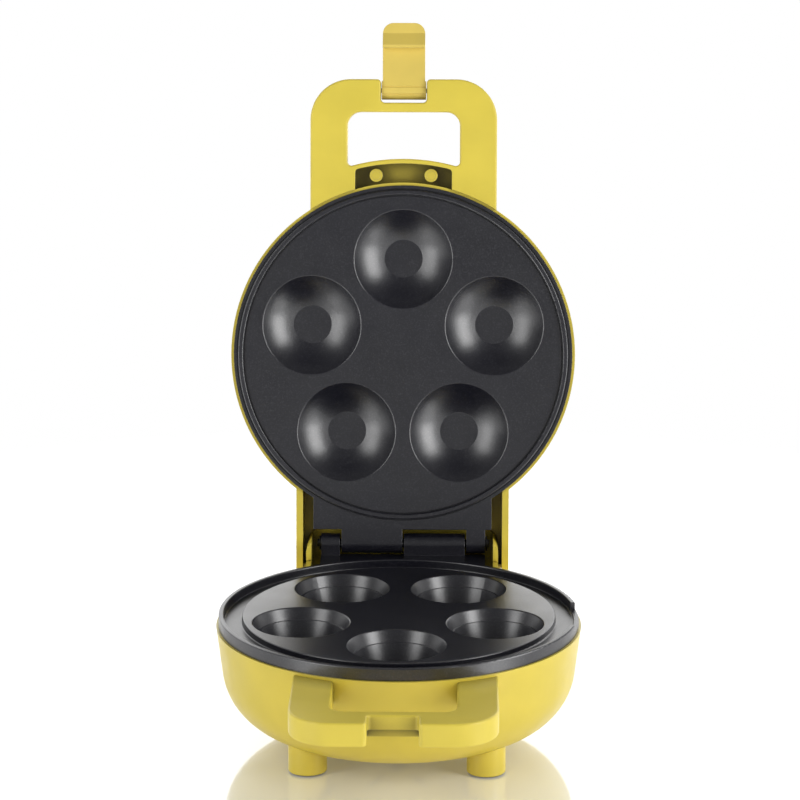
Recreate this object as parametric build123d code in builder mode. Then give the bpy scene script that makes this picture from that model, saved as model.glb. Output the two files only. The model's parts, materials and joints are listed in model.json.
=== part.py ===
from build123d import *
from math import asin, cos, degrees, radians, sin, sqrt, tan
import os

# A countertop maker for five small cakes, standing open.
# All sizes are in millimetres. X runs across, +Y to the back, +Z up, and the origin is
# the middle of the base on the surface it stands on.
# The lid is drawn in its own frame, as it lies when closed: its plane lid_face holds the
# face of the upper plate, with local z rising into the dome. lid_face itself stands open.

# Clearances
press_gap = 0.02
running_gap = 0.08
seat_gap = 0.1
swing_gap = 0.3
ring_gap = 0.6
face_gap = 0.3
cover_gap = 0.8
flange_side_gap = 0.8
cover_side_gap = 2.0
catch_gap = 0.25
latch_side_gap = 0.4
screw_tip_gap = 1.0

# Lower casing
shell_radius = 88.0
shell_top = 59.0
shell_floor = 9.6
shell_wall = 2.4
shell_draft = 7.0
shell_corner = 30.0

# Lower plate
plate_inset = 1.2
plate_rim_height = 6.0
plate_thickness = 2.3
plate_rim_width = 2.4
gutter_depth = 4.4
plateau_inset = 11.4
plateau_drop = 1.2
spill_from = -14.0
spill_to = 10.0
spill_lip = 0.9
ledge_drop = 0.6
ledge_hinge_gap = 0.8

# Cups of both plates, spread over the raised middle of the lower one
cup_count = 5
cup_land = 10.55
cup_margin = 3.35
cup_wall = 2.2
cup_step_depth = 5.5
cup_step_width = 0.7
cup_upper_draft = 2.45
cup_lower_draft = 4.7
cup_depth = 20.0
cup_corner = 3.0
dome_margin = 1.65
dome_flat = 9.7
mouth_round = 0.6

# Upper plate, heights counted from its face into the dome
lid_plate_inset = 1.4
lid_lip = 1.2
lid_plate_thickness = 2.3
ring_width = 2.6
ring_height = 1.8
ring_groove = 0.6
ring_groove_depth = 0.7
flange_hinge_gap = 7.5
flange_thickness = 3.0

# Upper casing, and the free height between its roof and the heat shield
lid_step = 0.6
lid_height = 42.0
lid_corner = 28.0
lid_room = 16.1

# Hinge, its axis behind the lower plate and above the face of the upper one
hinge_setback = 9.8
hinge_height = 4.9
open_angle = 100.0
pin_radius = 2.0
barrel_radius = 5.0
arm_angle = 15.0
knuckle_gap = 0.9
knuckle_short = 9.5
knuckle_left_inset = 4.0
knuckle_right_inset = 3.2
clip_thickness = 0.8
clip_radius = 3.7
pin_overhang = 1.4

# Hinge bracket of the lower casing and hinge cover of the upper one
bracket_radius = 11.6
bracket_half_width = 48.8
bracket_side_wall = 2.6
bracket_rear_wall = 2.4
bracket_rise = 4.3
bracket_round = 6.5
bracket_shoulder = 2.9
bracket_root_drop = 12.0
bracket_side_rise = 4.0
cover_wall = 2.4
cover_side_wall = 3.4
cover_round = 6.0
cover_reach_angle = 25.0

# Grips
grip_half_width = 47.2
grip_length = 51.5
grip_corner = 20.5
grip_arm = 18.75
grip_bar = 16.5
finger_corner = 7.0
finger_back_corner = 2.0
grip_edge = 1.0
grip_screw_bite = 7.0
base_grip_drop = 1.4
base_grip_height = 11.2
lid_grip_height = 11.6
bridge_depth = 12.0
bridge_wall = 2.3
pocket_half_width = 24.5
pocket_depth = 7.6
pocket_floor = 1.3
pocket_corner = 2.0

# Screws between the upper casing's tongue and the upper grip, under round plugs
tongue_screw_x = 13.9
tongue_screw_radius = 1.25
tongue_screw_tip = 1.0
plug_radius = 2.2
plug_thickness = 3.3
plug_boss_wall = 1.1
plug_boss_height = 5.35

# Latch and its catch
notch_half_width = 11.6
notch_depth = 11.8
notch_round = 2.0
catch_depth = 11.2
catch_ledge = 6.8
catch_undercut = 3.4
latch_half_width = 10.7
latch_pivot_inset = 5.6
latch_pivot_height = 6.6
latch_barrel = 4.6
latch_length = 33.9
latch_thickness = 3.4
latch_hook_reach = 3.7
latch_hook_length = 7.4
latch_hook_flat = 1.5
latch_corner = 5.4
latch_groove = 0.35
latch_groove_offset = 1.85
latch_pin_radius = 1.25
latch_pin_bite = 4.0

# Heating elements, from the cup bottoms outward
tube_radius = 3.3
tube_elbow = 7.0
tube_gap_half = 17.0
tube_leg = 5.0
sleeve_radius = 5.0
sleeve_length = 3.0
shield_gap = 3.8
shield_sheet = 0.8
shield_inset = 18.0
shield_rim = 6.0
clip_strap_width = 9.0
clip_strap_foot = 6.0
clip_strap_sheet = 0.8

# Posts, towers and screws of the plates
post_circle = 14.0
post_radius = 4.2
post_count = 3
screw_radius = 1.9
screw_head_radius = 3.7
screw_head_height = 2.4
tower_radius = 5.4
counterbore_radius = 4.1
base_seat_depth = 6.3
screw_bite = 14.0
cap_radius = 24.0
cap_recess = 1.8
cap_thickness = 1.5
cap_pad = 3.0
cap_round = 0.5
lid_seat_depth = 1.0

# Feet, their centres counted inward from the sides, front and back of the lower casing's rim;
# the rear pair stands far back, because the open lid leans behind the hinge
front_foot_side_inset = 45.8
front_foot_inset = 42.1
rear_foot_side_inset = 60.0
rear_foot_inset = 22.0
foot_radius = 9.2
foot_edge = 0.8
foot_peg_radius = 3.0
foot_peg_height = 20.5
pad_radius = 6.2
pad_recess = 1.2
pad_proud = 0.5

# Floor vents
vent_count = 10
vent_inner = 24.0
vent_outer = 41.5
vent_width = 2.6

# Cord gland
gland_z = 30.0
gland_bore = 3.3
gland_body = 6.0
gland_flange_radius = 8.4
gland_flange = 2.2
gland_nose = 6.5
gland_nose_radius = 5.4
gland_collar_radius = 7.4
gland_collar = 1.6
gland_boss_radius = 9.8
gland_inset = 1.6
gland_wall = 2.6

# Electrical pieces
block_width = 24.0
block_depth = 13.0
block_edge = 1.1
block_inset = 41.0
block_lead_drop = 3.2
thermostat_radius = 8.3
thermostat_height = 7.0
blade_width = 4.8
blade_sheet = 0.8
blade_length = 8.0
fuse_radius = 2.3
fuse_length = 14.0
lead_radius = 1.3
lead_slot_half_width = 12.0
lead_slot_height = 6.0

# Where the leads run along the rear walls: inward from the rim, then down from the top, or for
# the last two points of the lid's leads, up from the hinge axis
lead_foot_inset = 21.5
lead_climb = ((12.0, 28.0), (9.0, 2.7), (-4.0, 2.7))
lid_lead_drop = 4.6
lid_lead_climb = ((22.4, 5.4), (11.2, 14.5))
lid_lead_end = ((8.4, 9.1), (1.4, 6.6))

# Sizes that follow from those above
front = -90.0
cup_step = 360.0 / cup_count
plate_radius = shell_radius - plate_inset
plate_top = shell_top + plate_rim_height
gutter_floor = plate_top - gutter_depth
plateau_radius = plate_radius - plateau_inset
plateau_top = plate_top - plateau_drop
half_step_sine = sin(radians(cup_step / 2))
cup_pitch_radius = (plateau_radius - cup_margin + cup_land / 2) / (1 + half_step_sine)
cup_mouth = cup_pitch_radius * half_step_sine - cup_land / 2
cup_step_top = cup_mouth - cup_upper_draft
cup_foot = cup_step_top - cup_step_width - cup_lower_draft
dome_mouth = cup_mouth + dome_margin
dome_stack = cup_wall + seat_gap + 2 * tube_radius + shield_gap + shield_sheet
dome_depth = lid_height - shell_wall - lid_room - dome_stack
face_level = plate_top + face_gap
grip_reach = shell_radius + grip_length
shield_radius = shell_radius - shield_inset
front_foot = (shell_radius - front_foot_side_inset, front_foot_inset - shell_radius)
rear_foot = (shell_radius - rear_foot_side_inset, shell_radius - rear_foot_inset)
block_y = shell_radius - block_inset
lid_radius = shell_radius - lid_step
lid_plate_radius = lid_radius - lid_plate_inset
ring_outer = plate_radius - plate_rim_width - ring_gap
ring_inner = ring_outer - ring_width
hinge_y = plate_radius + hinge_setback
hinge_z = face_level + hinge_height
cover_inner_radius = bracket_radius + cover_gap
cover_outer_radius = cover_inner_radius + cover_wall
cover_opening = bracket_half_width + cover_side_gap
cover_half_width = cover_opening + cover_side_wall
bracket_top = hinge_z + bracket_rise
bracket_root = shell_top - bracket_root_drop
bracket_side_top = shell_top + bracket_side_rise
flange_half_width = bracket_half_width - bracket_side_wall - flange_side_gap
flange_reach = hinge_y - flange_hinge_gap
knuckle_room = 2 * flange_half_width - knuckle_left_inset - knuckle_right_inset
knuckle_long = knuckle_room / 2 - knuckle_short - 1.5 * knuckle_gap
knuckle_ends = []
knuckle_left = knuckle_left_inset - flange_half_width
for knuckle_width in (knuckle_short, knuckle_long, knuckle_long, knuckle_short):
    knuckle_ends.append((knuckle_left, knuckle_left + knuckle_width))
    knuckle_left += knuckle_width + knuckle_gap
base_knuckles = knuckle_ends[0::2]
lid_knuckles = knuckle_ends[1::2]
latch_pivot_y = -grip_reach + latch_pivot_inset
base_cup_bottom = plateau_top - cup_depth - cup_wall
lid_cup_bottom = dome_depth + cup_wall
base_tube_level = base_cup_bottom - tube_radius - seat_gap
lid_tube_level = lid_cup_bottom + tube_radius + seat_gap
base_shield_top = base_tube_level - tube_radius - shield_gap
base_shield_back = base_shield_top - shield_sheet
base_head_seat = base_shield_back - base_seat_depth
lid_shield_low = lid_tube_level + tube_radius + shield_gap
lid_shield_back = lid_shield_low + shield_sheet
recess_floor = lid_height - cap_recess
lid_head_seat = recess_floor - cap_pad - lid_seat_depth
finger_half_width = grip_half_width - grip_arm
finger_front = grip_reach - grip_bar
base_grip_top = shell_top - base_grip_drop
base_grip_bottom = base_grip_top - base_grip_height
screw_x = grip_half_width - grip_arm / 2
grip_screw_z = base_grip_top - base_grip_height / 2
grip_screw_places = [(-screw_x, grip_screw_z), (screw_x, grip_screw_z)]
bridge_outer = lid_radius + bridge_depth
pocket_radius = bridge_outer - bridge_wall
pocket_back = pocket_depth + pocket_floor
tongue_radius = pocket_radius - seat_gap
tongue_screw_y = -(lid_radius + plug_radius + plug_boss_wall + swing_gap)
tongue_screw_places = [(-tongue_screw_x, tongue_screw_y), (tongue_screw_x, tongue_screw_y)]
gland_face_y = shell_radius - gland_inset
latch_hook = face_level + latch_pivot_height - (base_grip_top - catch_ledge) + catch_gap

# Planes of the lid, standing open
lid_hinge_plane = Plane((0, hinge_y, hinge_z)).rotated((-open_angle, 0, 0))
lid_origin = lid_hinge_plane.from_local_coords((0, -hinge_y, -hinge_height))
lid_face = Plane(lid_origin, x_dir=lid_hinge_plane.x_dir, z_dir=lid_hinge_plane.z_dir)
lid_section = Plane(lid_origin, x_dir=lid_face.x_dir, z_dir=-lid_face.y_dir)
lid_side = Plane(lid_origin, x_dir=lid_face.y_dir, z_dir=lid_face.x_dir)
lid_axis = Axis(lid_origin, lid_face.z_dir)

# The underside of the lower plate, seen with local z pointing down
base_under = Plane((0, 0, 0), x_dir=(1, 0, 0), z_dir=(0, 0, -1))


def polar(radius, angle):
    """A point on a circle about the local origin."""
    return (radius * cos(radians(angle)), radius * sin(radians(angle)))


def bowl_face(plane, radius, edge, floor, corner):
    """Half section of a drafted bowl from its edge to its floor, with a round corner."""
    floor_radius = radius - abs(floor - edge) * tan(radians(shell_draft))
    with BuildSketch(plane) as face:
        with BuildLine():
            Polyline((0, edge), (radius, edge), (floor_radius, floor), (0, floor), close=True)
        make_face()
        fillet(face.vertices().sort_by_distance((floor_radius, floor, 0))[0], corner)
    return face.sketch


def disc(plane, radius, inner=0.0, places=((0, 0),)):
    """Round faces, or rings where inner is given."""
    with BuildSketch(plane) as face:
        with Locations(*places):
            Circle(radius)
            if inner > 0:
                Circle(inner, mode=Mode.SUBTRACT)
    return face.sketch


def outline(plane, *points):
    """A face with straight sides."""
    with BuildSketch(plane) as face:
        with BuildLine():
            Polyline(*points, close=True)
        make_face()
    return face.sketch


def slab(plane, half_width, top, bottom, corner):
    """An upright face with two round upper corners."""
    with BuildSketch(plane) as face:
        with BuildLine():
            sides = ((-half_width, bottom), (-half_width, top), (half_width, top), (half_width, bottom))
            Polyline(*sides, close=True)
        make_face()
        fillet(face.vertices().group_by(Axis.Y)[-1], corner)
    return face.sketch


def post_places(first=front):
    """Centres of the posts about the middle of a plate, one of them at the angle first."""
    return [polar(post_circle, first + index * 360 / post_count) for index in range(post_count)]


def tube_angle():
    """Half the angle left open at the back of the heating ring."""
    return degrees(asin(tube_gap_half / cup_pitch_radius))


def leg_place(side, rear):
    """Where a leg of the heating tube stands: side is -1 or 1, rear is the angle of the gap."""
    end_angle = radians(rear + side * tube_angle())
    end = Vector(cup_pitch_radius * cos(end_angle), cup_pitch_radius * sin(end_angle))
    toward_gap = Vector(sin(end_angle), -cos(end_angle)) * side
    return end + toward_gap * tube_elbow


def tube_path(plane, rear):
    """The heating ring with its two elbows and legs, which rise along local z."""
    ends = []
    for side in (1, -1):
        end_angle = radians(rear + side * tube_angle())
        end = Vector(cup_pitch_radius * cos(end_angle), cup_pitch_radius * sin(end_angle), 0)
        toward_gap = Vector(sin(end_angle), -cos(end_angle), 0) * side
        up = Vector(0, 0, 1)
        middle = end + toward_gap * tube_elbow * sin(radians(45)) + up * tube_elbow * (1 - cos(radians(45)))
        corner = end + toward_gap * tube_elbow + up * tube_elbow
        points = (end, middle, corner, corner + up * tube_leg)
        ends.append([plane.from_local_coords(point) for point in points])
    opposite = plane.from_local_coords(polar(cup_pitch_radius, rear + 180))
    with BuildLine() as path:
        Line(ends[0][3], ends[0][2])
        ThreePointArc(ends[0][2], ends[0][1], ends[0][0])
        ThreePointArc(ends[0][0], opposite, ends[1][0])
        ThreePointArc(ends[1][0], ends[1][1], ends[1][2])
        Line(ends[1][2], ends[1][3])
    return path.line, ends[0][3]


def strap_face(plane):
    """Section of a strap over the heating tube, its feet on the plane's local x axis."""
    inner = tube_radius + swing_gap
    outer = inner + clip_strap_sheet
    center = tube_radius + seat_gap
    with BuildSketch(plane) as face:
        with Locations((0, center)):
            Circle(outer)
        Rectangle(2 * outer, center, align=(Align.CENTER, Align.MIN))
        Rectangle(2 * (outer + clip_strap_foot), clip_strap_sheet, align=(Align.CENTER, Align.MIN))
        with Locations((0, center)):
            Circle(inner, mode=Mode.SUBTRACT)
        Rectangle(2 * inner, center, align=(Align.CENTER, Align.MIN), mode=Mode.SUBTRACT)
        Rectangle(2 * outer, outer, align=(Align.CENTER, Align.MAX), mode=Mode.SUBTRACT)
    return face.sketch


def strap_planes(plane, level, front_angle):
    """Section planes of the straps, under the front cup and the two beside it."""
    planes = []
    for index in (-1, 0, 1):
        x, y = polar(cup_pitch_radius, front_angle + index * cup_step)
        outward = (plane.x_dir * x + plane.y_dir * y).normalized()
        origin = plane.from_local_coords((x, y, level))
        planes.append(Plane(origin, x_dir=outward, z_dir=outward.cross(plane.z_dir)))
    return planes


def cup_face(plane, wall):
    """Half section of a two-step cup, grown by wall; local y is depth."""
    with BuildSketch(plane) as face:
        with BuildLine():
            Polyline(
                (0, 0),
                (cup_mouth + wall, 0),
                (cup_step_top + wall, cup_step_depth + wall / 2),
                (cup_step_top - cup_step_width + wall, cup_step_depth + wall / 2),
                (cup_foot + wall, cup_depth + wall),
                (0, cup_depth + wall),
                close=True,
            )
        make_face()
        fillet(face.vertices().sort_by_distance((cup_foot + wall, cup_depth + wall, 0))[0], cup_corner)
    return face.sketch


def dome_face(plane, wall):
    """Half section of a round cup with a flat bottom, grown by wall; local y is depth."""
    center = (dome_mouth**2 - dome_flat**2 - dome_depth**2) / (2 * dome_depth)
    ball = sqrt(dome_mouth**2 + center**2) + wall
    mouth = (sqrt(ball**2 - center**2), 0)
    flat = (sqrt(ball**2 - (dome_depth + wall + center) ** 2), dome_depth + wall)
    middle_angle = (asin(center / ball) + asin((dome_depth + wall + center) / ball)) / 2
    middle = (ball * cos(middle_angle), ball * sin(middle_angle) - center)
    with BuildSketch(plane) as face:
        with BuildLine():
            Line((0, 0), mouth)
            ThreePointArc(mouth, middle, flat)
            Line(flat, (0, dome_depth + wall))
            Line((0, dome_depth + wall), (0, 0))
        make_face()
    return face.sketch


def grip_plan(plane, notch):
    """Plan of a grip loop without its finger opening, with the latch notch in its front bar."""
    with BuildSketch(plane) as face:
        with Locations((0, -grip_reach)):
            Rectangle(2 * grip_half_width, grip_reach, align=(Align.CENTER, Align.MIN))
        fillet(face.vertices().group_by(Axis.Y)[0], grip_corner)
        with Locations((0, -grip_reach)):
            Rectangle(2 * notch_half_width, notch, align=(Align.CENTER, Align.MIN), mode=Mode.SUBTRACT)
        notch_corners = face.vertices().filter_by(lambda corner: abs(abs(corner.X) - notch_half_width) < 0.01)
        fillet(notch_corners, notch_round)
    return face.sketch


def finger_opening(plane, back_radius):
    """The opening for the fingers, from the front bar to a round back edge."""
    with BuildSketch(plane) as face:
        with Locations((0, -finger_front)):
            Rectangle(2 * finger_half_width, finger_front / 2, align=(Align.CENTER, Align.MIN))
        fillet(face.vertices().group_by(Axis.Y)[0], finger_corner)
        Circle(back_radius, mode=Mode.SUBTRACT)
        fillet(face.vertices().group_by(Axis.Y)[-1], finger_back_corner)
    return face.sketch


def front_sector(plane, radius, half_width, corner=0.0):
    """The front part of a disc between two straight sides."""
    with BuildSketch(plane) as face:
        with Locations((0, -radius)):
            Rectangle(2 * half_width, radius / 2, align=(Align.CENTER, Align.MIN))
        Circle(radius, mode=Mode.INTERSECT)
        if corner > 0:
            fillet(face.vertices().group_by(Axis.Y)[0], corner)
    return face.sketch


def heater(plane, rear):
    """A heating tube along its path."""
    path, start = tube_path(plane, rear)
    with BuildPart() as tube:
        sweep(disc(Plane(start, z_dir=plane.z_dir), tube_radius), path=path)
    return tube.part


def leg_rings(plane, rear, radius, inner):
    """Round faces about the two legs of a heating tube."""
    legs = [leg_place(side, rear) for side in (-1, 1)]
    return disc(plane, radius, inner, [(leg.X, leg.Y) for leg in legs])


def straps(plane, level, front_angle):
    """Straps that hold a heating tube to the cup bottoms."""
    with BuildPart() as strap_set:
        for strap_plane in strap_planes(plane, level, front_angle):
            extrude(strap_face(strap_plane), amount=clip_strap_width / 2, both=True)
    return strap_set.part


def shield(plane, rear, inner_hole):
    """A sheet dish whose floor starts at the plane, its rim turned back toward the plate."""
    with BuildPart() as dish:
        extrude(disc(plane, shield_radius + shield_sheet), amount=shield_sheet)
        extrude(disc(plane, shield_radius + shield_sheet, shield_radius), amount=-shield_rim)
        extrude(disc(plane, screw_radius + seat_gap, places=post_places(rear + 180)), amount=shield_sheet,
                mode=Mode.SUBTRACT)
        extrude(leg_rings(plane, rear, sleeve_radius + swing_gap, 0), amount=shield_sheet, mode=Mode.SUBTRACT)
        if inner_hole > 0:
            extrude(disc(plane, inner_hole), amount=shield_sheet, mode=Mode.SUBTRACT)
    return dish.part


def lead(points, bends):
    """An insulated lead through its points, bent with the given radius."""
    with BuildPart() as wire:
        with BuildLine() as path:
            if len(points) > 2:
                FilletPolyline(*points, radius=bends)
            else:
                Line(*points)
        start = Vector(points[0])
        sweep(disc(Plane(start, z_dir=Vector(points[1]) - start), lead_radius), path=path.line)
    return wire.part


# Hinge bracket, later joined to the lower casing
with BuildPart() as hinge_bracket:
    stop_angle = -(open_angle - cover_reach_angle) - degrees(swing_gap / cover_inner_radius)
    shoulder_y, shoulder_z = polar(bracket_radius + bracket_shoulder, stop_angle)
    with BuildSketch(Plane.YZ) as bracket_outer:
        with Locations((hinge_y, hinge_z)):
            Circle(bracket_radius)
        with BuildLine():
            Polyline(
                (hinge_y, hinge_z),
                (hinge_y + shoulder_y, hinge_z + shoulder_z),
                (shell_radius - shell_wall / 2, bracket_root),
                (0, bracket_root),
                (0, bracket_side_top),
                (hinge_y - bracket_radius / 2, bracket_side_top),
                close=True,
            )
        make_face()
    extrude(amount=bracket_half_width, both=True)
    extrude(
        slab(Plane.XZ, bracket_half_width, bracket_top, 0, bracket_round),
        amount=-2 * hinge_y,
        mode=Mode.INTERSECT,
    )
    with BuildSketch(Plane.YZ) as bracket_inner:
        with Locations((hinge_y, hinge_z)):
            Circle(bracket_radius - bracket_rear_wall)
        with BuildLine():
            Polyline(
                (hinge_y, hinge_z + bracket_radius),
                (hinge_y, hinge_z),
                (hinge_y + shoulder_y, hinge_z + shoulder_z + bracket_rear_wall + bracket_shoulder),
                (shell_radius - shell_wall / 2, bracket_root + bracket_rear_wall + bracket_shoulder / 2),
                (0, bracket_root + bracket_rear_wall + bracket_shoulder / 2),
                (0, hinge_z + bracket_radius),
                close=True,
            )
        make_face()
        with Locations((hinge_y, hinge_z)):
            Rectangle(bracket_radius - bracket_rear_wall, bracket_radius, align=Align.MIN)
    extrude(amount=bracket_half_width - bracket_side_wall, both=True, mode=Mode.SUBTRACT)

# Lower casing
with BuildPart() as base_shell:
    revolve(bowl_face(Plane.XZ, shell_radius, shell_top, shell_floor, shell_corner), Axis.Z)
    add(hinge_bracket.part)
    gland_places = ((0, gland_z),)
    gland_plane = Plane.XZ.offset(-gland_face_y)
    extrude(disc(gland_plane, gland_boss_radius, places=gland_places), amount=gland_face_y / 2)
    inner_floor = shell_floor + shell_wall
    revolve(
        bowl_face(Plane.XZ, shell_radius - shell_wall, shell_top, inner_floor, shell_corner - shell_wall),
        Axis.Z,
        mode=Mode.SUBTRACT,
    )
    extrude(disc(Plane.XY.offset(shell_top), shell_radius), amount=2 * hinge_z, mode=Mode.SUBTRACT)
    extrude(disc(Plane.XY.offset(shell_floor), tower_radius, places=post_places()),
            amount=base_shield_back - shell_floor)
    extrude(disc(Plane.XY.offset(shell_floor), counterbore_radius, places=post_places()),
            amount=base_head_seat - shell_floor, mode=Mode.SUBTRACT)
    extrude(disc(Plane.XY.offset(shell_floor), screw_radius + seat_gap, places=post_places()),
            amount=base_shield_top - shell_floor, mode=Mode.SUBTRACT)
    foot_places = [(side * x, y) for x, y in (front_foot, rear_foot) for side in (-1, 1)]
    extrude(disc(Plane.XY, foot_peg_radius + press_gap, places=foot_places), amount=2 * foot_peg_height,
            mode=Mode.SUBTRACT)
    with BuildSketch(Plane.XY.offset(shell_floor)):
        with PolarLocations((vent_inner + vent_outer) / 2, vent_count, start_angle=front + 180 / vent_count):
            SlotOverall(vent_outer - vent_inner, vent_width)
    extrude(amount=shell_wall, mode=Mode.SUBTRACT)
    extrude(disc(gland_plane, gland_body + press_gap, places=gland_places), amount=gland_face_y / 2,
            mode=Mode.SUBTRACT)
    extrude(disc(gland_plane.offset(gland_wall), gland_collar_radius + seat_gap, places=gland_places),
            amount=gland_face_y / 2, mode=Mode.SUBTRACT)
    with BuildSketch(Plane.XZ.offset(-shell_radius)):
        with Locations((0, shell_top - lead_slot_height)):
            Rectangle(2 * lead_slot_half_width, lead_slot_height, align=(Align.CENTER, Align.MIN))
    extrude(amount=2.5 * shell_wall, mode=Mode.SUBTRACT)
    extrude(disc(Plane.XZ, screw_radius + seat_gap, places=grip_screw_places), amount=shell_radius,
            mode=Mode.SUBTRACT)
base_shell.part.label = "base_shell"

# Lower plate: knuckles and the ledge under the hinge first, then the round casting over them
with BuildPart() as base_plate:
    arm_y, arm_z = polar(barrel_radius, front - arm_angle)
    for knuckle_from, knuckle_to in base_knuckles:
        with BuildSketch(Plane.YZ.offset(knuckle_from)) as arm:
            with Locations((hinge_y, hinge_z)):
                Circle(barrel_radius)
            with BuildLine():
                Polyline(
                    (plate_radius / 2, shell_top + seat_gap),
                    (plate_radius + plate_rim_width / 2, shell_top + seat_gap),
                    (hinge_y + arm_y, hinge_z + arm_z),
                    (hinge_y, hinge_z),
                    (hinge_y - barrel_radius, hinge_z),
                    (hinge_y - barrel_radius, plate_top),
                    (plate_radius / 2, plate_top),
                    close=True,
                )
            make_face()
        extrude(amount=knuckle_to - knuckle_from)
    ledge_left, ledge_right = knuckle_ends[0][0], knuckle_ends[-1][1]
    with BuildSketch(Plane.XY.offset(shell_top + seat_gap)):
        with Locations((ledge_left, 0)):
            Rectangle(ledge_right - ledge_left, hinge_y - ledge_hinge_gap, align=Align.MIN)
    extrude(amount=plate_rim_height - ledge_drop - seat_gap)
    extrude(disc(Plane.XY, plate_radius - plate_rim_width / 2), amount=2 * plate_top, mode=Mode.SUBTRACT)
    locating_radius = shell_radius - shell_wall - swing_gap
    under_gutter = gutter_floor - plate_thickness
    with BuildSketch(Plane.XZ) as plate_section:
        with BuildLine():
            Polyline(
                (0, plateau_top),
                (plateau_radius, plateau_top),
                (plateau_radius, gutter_floor),
                (plate_radius - plate_rim_width, gutter_floor),
                (plate_radius - plate_rim_width, plate_top),
                (plate_radius, plate_top),
                (plate_radius, shell_top),
                (locating_radius, shell_top),
                (locating_radius, under_gutter),
                (plateau_radius - plate_thickness, under_gutter),
                (plateau_radius - plate_thickness, plateau_top - plate_thickness),
                (0, plateau_top - plate_thickness),
                close=True,
            )
        make_face()
        upper_corners = plate_section.vertices().filter_by(lambda corner: corner.X > plateau_radius - 1)
        fillet(upper_corners.filter_by(lambda corner: corner.Y > gutter_floor - 1), mouth_round)
    revolve(axis=Axis.Z)
    base_cup_section = Plane((cup_pitch_radius, 0, plateau_top), x_dir=(1, 0, 0), z_dir=(0, 1, 0))
    base_cup_axis = Axis((cup_pitch_radius, 0, plateau_top), (0, 0, 1))
    cup_body = revolve(cup_face(base_cup_section, cup_wall), base_cup_axis, mode=Mode.PRIVATE)
    cup_hollow = revolve(cup_face(base_cup_section, 0), base_cup_axis, mode=Mode.PRIVATE)
    for cup_index in range(cup_count):
        add(cup_body.rotate(Axis.Z, front + cup_index * cup_step))
    for cup_index in range(cup_count):
        add(cup_hollow.rotate(Axis.Z, front + cup_index * cup_step), mode=Mode.SUBTRACT)
    mouths = base_plate.edges().filter_by(GeomType.CIRCLE).filter_by(
        lambda edge: abs(edge.radius - cup_mouth) < 0.01 and abs(edge.center().Z - plateau_top) < 0.01)
    fillet(mouths, mouth_round)
    extrude(disc(Plane.XY.offset(base_shield_top), post_radius, places=post_places()),
            amount=plateau_top - plate_thickness - base_shield_top + seat_gap)
    extrude(disc(Plane.XY.offset(base_shield_top), screw_radius + press_gap, places=post_places()),
            amount=screw_bite + screw_tip_gap, mode=Mode.SUBTRACT)
    spill_span = (spill_from, (spill_from + spill_to) / 2, spill_to)
    outlet = [polar(1.1 * plate_radius, angle) for angle in spill_span]
    extrude(outline(Plane.XY.offset(gutter_floor + spill_lip), (0, 0), outlet[0], outlet[1], outlet[2])
            - disc(Plane.XY.offset(gutter_floor + spill_lip), plateau_radius + plate_rim_width),
            amount=plate_top, mode=Mode.SUBTRACT)
    with BuildSketch(Plane.YZ) as base_bore:
        with Locations((hinge_y, hinge_z)):
            Circle(pin_radius + press_gap)
    extrude(amount=plate_radius, both=True, mode=Mode.SUBTRACT)
base_plate.part.label = "base_plate"

with BuildPart() as base_plate_screws:
    extrude(disc(Plane.XY.offset(base_head_seat), screw_head_radius, places=post_places()),
            amount=-screw_head_height)
    extrude(disc(Plane.XY.offset(base_head_seat), screw_radius, places=post_places()),
            amount=base_shield_top + screw_bite - base_head_seat)
base_plate_screws.part.label = "base_plate_screws"

# Heating parts under the lower plate
base_tube_plane = base_under.offset(-base_tube_level)
base_shield_plane = base_under.offset(-base_shield_top)
sleeve_start = tube_radius + shield_gap + shield_sheet + seat_gap

with BuildPart() as base_heater:
    add(heater(base_tube_plane, front))
base_heater.part.label = "base_heater"

with BuildPart() as base_heater_sleeves:
    extrude(leg_rings(base_tube_plane.offset(sleeve_start), front, sleeve_radius, tube_radius + press_gap),
            amount=sleeve_length)
base_heater_sleeves.part.label = "base_heater_sleeves"

with BuildPart() as base_heater_straps:
    add(straps(base_under, -base_cup_bottom, -front))
base_heater_straps.part.label = "base_heater_straps"

with BuildPart() as base_heat_shield:
    add(shield(base_shield_plane, front, post_circle - post_radius - 2 * seat_gap))
base_heat_shield.part.label = "base_heat_shield"

thermostat_top = plateau_top - plate_thickness
thermostat_x = thermostat_radius / 2
with BuildPart() as base_thermostat:
    extrude(disc(Plane.XY.offset(thermostat_top), thermostat_radius), amount=-thermostat_height)
    with BuildSketch(Plane.XY.offset(thermostat_top - thermostat_height)):
        with Locations((-thermostat_x, 0), (thermostat_x, 0)):
            Rectangle(blade_sheet, blade_width)
    extrude(amount=-blade_length)
base_thermostat.part.label = "base_thermostat"

leg_end = base_tube_level - tube_elbow - tube_leg
block_top = leg_end - block_lead_drop
block_height = block_top - inner_floor
with BuildPart() as base_terminal_block:
    with BuildSketch(Plane.XY.offset(inner_floor)):
        with Locations((0, block_y)):
            Rectangle(block_width, block_depth)
    extrude(amount=block_height)
    chamfer(base_terminal_block.faces().sort_by(Axis.Z)[-1].edges(), block_edge)
base_terminal_block.part.label = "base_terminal_block"

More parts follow.
